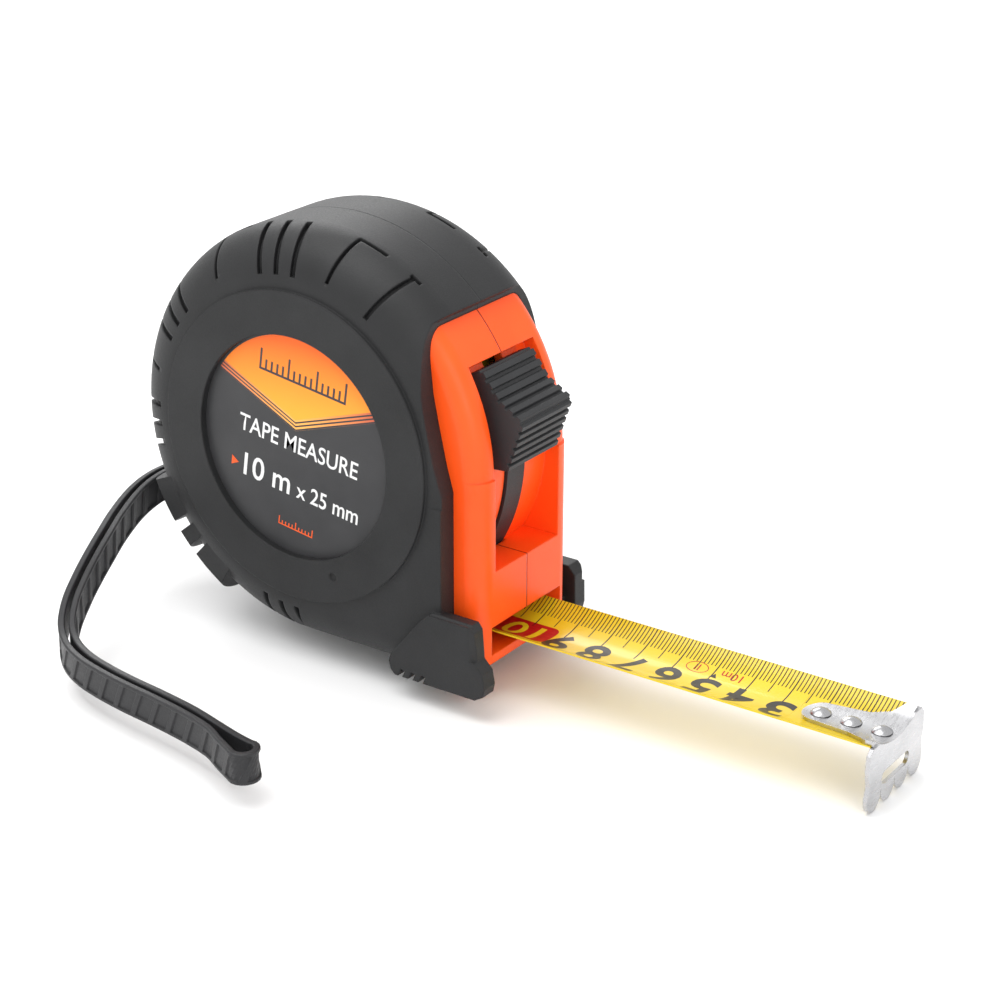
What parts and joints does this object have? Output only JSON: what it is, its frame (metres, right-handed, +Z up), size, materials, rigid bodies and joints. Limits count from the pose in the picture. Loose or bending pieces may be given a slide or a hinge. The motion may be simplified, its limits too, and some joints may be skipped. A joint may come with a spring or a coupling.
{
  "type": "tape measure",
  "caption": "Pocket tape measure with a spring-return steel blade, sliding riveted end hook, thumb lock, rubber-jacketed case, belt clip and wrist strap, blade partly drawn out.",
  "frame": {"origin": "on the base plane and the mid-plane, straight below the reel's axis", "axes": "+X the way the blade leaves the mouth, +Y the belt clip's side, +Z up"},
  "size_m": [0.2146, 0.1247, 0.1114],
  "materials": {
    "orange_abs": "satin moulded",
    "black_rubber": "matte moulded",
    "label_print": "printed sticker",
    "axle_steel": "turned",
    "reel_plastic": "moulded",
    "spring_steel": "blued",
    "blade_yellow": "printed and coated",
    "hook_nickel": "nickel plated",
    "rivet_nickel": "nickel plated",
    "lock_black": "ribbed",
    "brake_rubber": "matte",
    "screw_steel": "zinc plated",
    "clip_steel": "plated spring steel",
    "strap_black": "moulded"
  },
  "bodies": {
    "case": {"shell_right": "orange_abs", "shell_left": "orange_abs", "jacket_right": "black_rubber", "jacket_left": "black_rubber", "label_right": "label_print", "label_left": "label_print", "axle": "axle_steel", "blade_strip": "blade_yellow", "case_screws": "screw_steel", "belt_clip": "clip_steel", "clip_screw": "screw_steel", "strap_pin": "axle_steel"},
    "reel": {"reel": "reel_plastic", "reel_cover": "reel_plastic", "mainspring": "spring_steel", "blade_coil": "blade_yellow"},
    "tip": {"blade_tip": "blade_yellow", "hook_rivets": "rivet_nickel"},
    "hook": {"hook": "hook_nickel"},
    "lock": {"lock_slide": "lock_black", "lock_button": "lock_black", "brake_pad": "brake_rubber"},
    "strap": {"strap": "strap_black"}
  },
  "joints": [
    {"name": "blade_slide", "type": "slide", "parent": "case", "child": "tip", "axis": [1, 0, 0], "range_m": [-0.0995, 0], "deforming": ["blade_strip"]},
    {"name": "hook_play", "type": "slide", "parent": "tip", "child": "hook", "axis": [1, 0, 0], "range_m": [0, 0.001]},
    {"name": "reel_spin", "type": "hinge", "parent": "case", "child": "reel", "pos_m": [0, 0, 0.0515], "axis": [0, 1, 0], "range_deg": [0, 145]},
    {"name": "lock_turn", "type": "hinge", "parent": "case", "child": "lock", "pos_m": [0, 0, 0.0515], "axis": [0, 1, 0], "range_deg": [0, 10]},
    {"name": "strap_swing", "type": "hinge", "parent": "case", "child": "strap", "pos_m": [-0.03947, 0, 0.024], "axis": [0, 0, 1], "range_deg": [-20, 5]}
  ],
  "couplings": [
    {"joint": "reel_spin", "follows": "blade_slide", "rad_per_m": -25.126}
  ]
}
